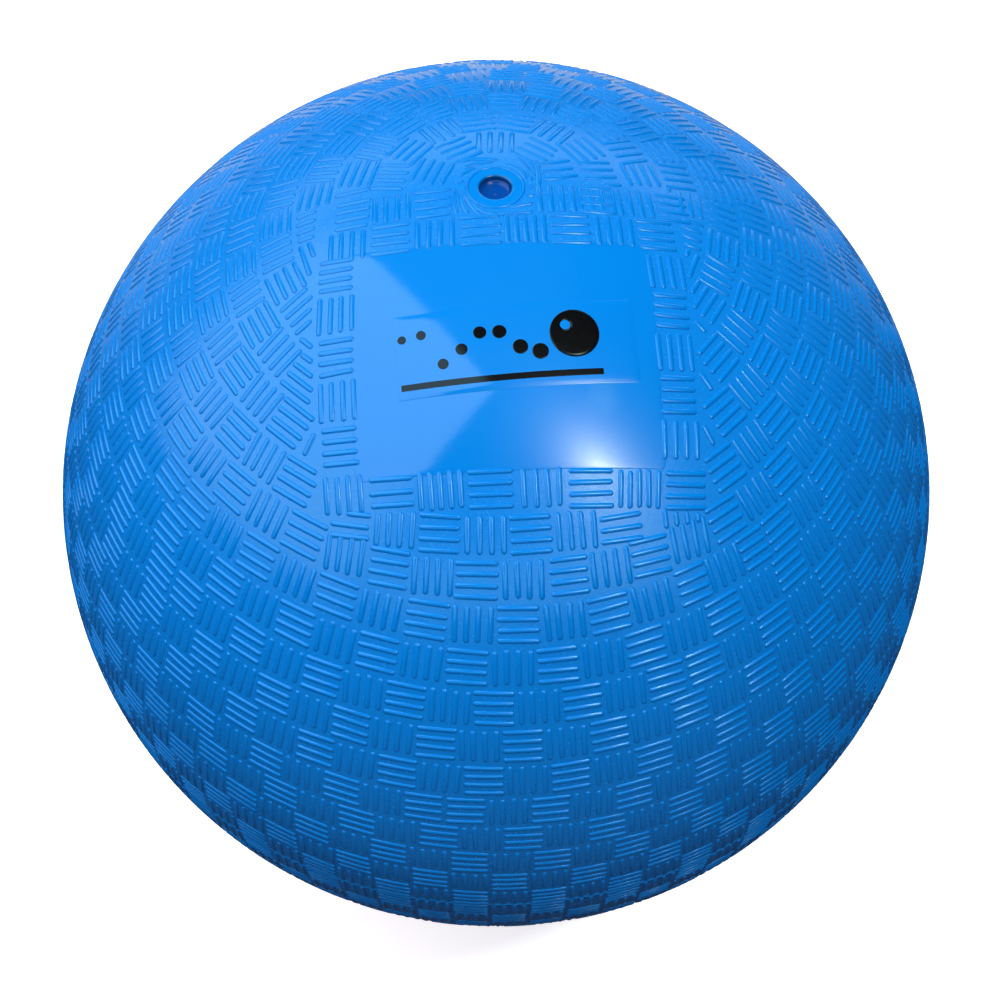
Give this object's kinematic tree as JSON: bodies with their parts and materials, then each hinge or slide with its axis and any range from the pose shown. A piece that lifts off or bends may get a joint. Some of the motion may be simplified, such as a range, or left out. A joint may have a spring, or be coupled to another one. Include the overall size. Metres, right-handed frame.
{
  "type": "playground ball",
  "caption": "Inflatable rubber ball with a moulded basket-weave grip, a smooth printed window beside a recessed needle valve, and a bladder and thread winding inside.",
  "frame": {"origin": "centre of the ball", "axes": "+Z out along the inflation valve's axis; the smooth window with the printed mark faces -Y, tilted down from the valve; the moulded parting line lies in the XY plane"},
  "size_m": [0.2158, 0.2158, 0.2158],
  "materials": {
    "cover_rubber": "gloss",
    "nylon_thread": "satin",
    "butyl_rubber": "satin",
    "valve_rubber": "gloss",
    "black_ink": "gloss"
  },
  "bodies": {
    "root": {"cover": "cover_rubber", "nylon_winding": "nylon_thread", "bladder": "butyl_rubber", "valve_patch": "butyl_rubber", "valve_housing": "valve_rubber", "valve_core": "valve_rubber", "printed_mark": "black_ink"}
  },
  "joints": []
}
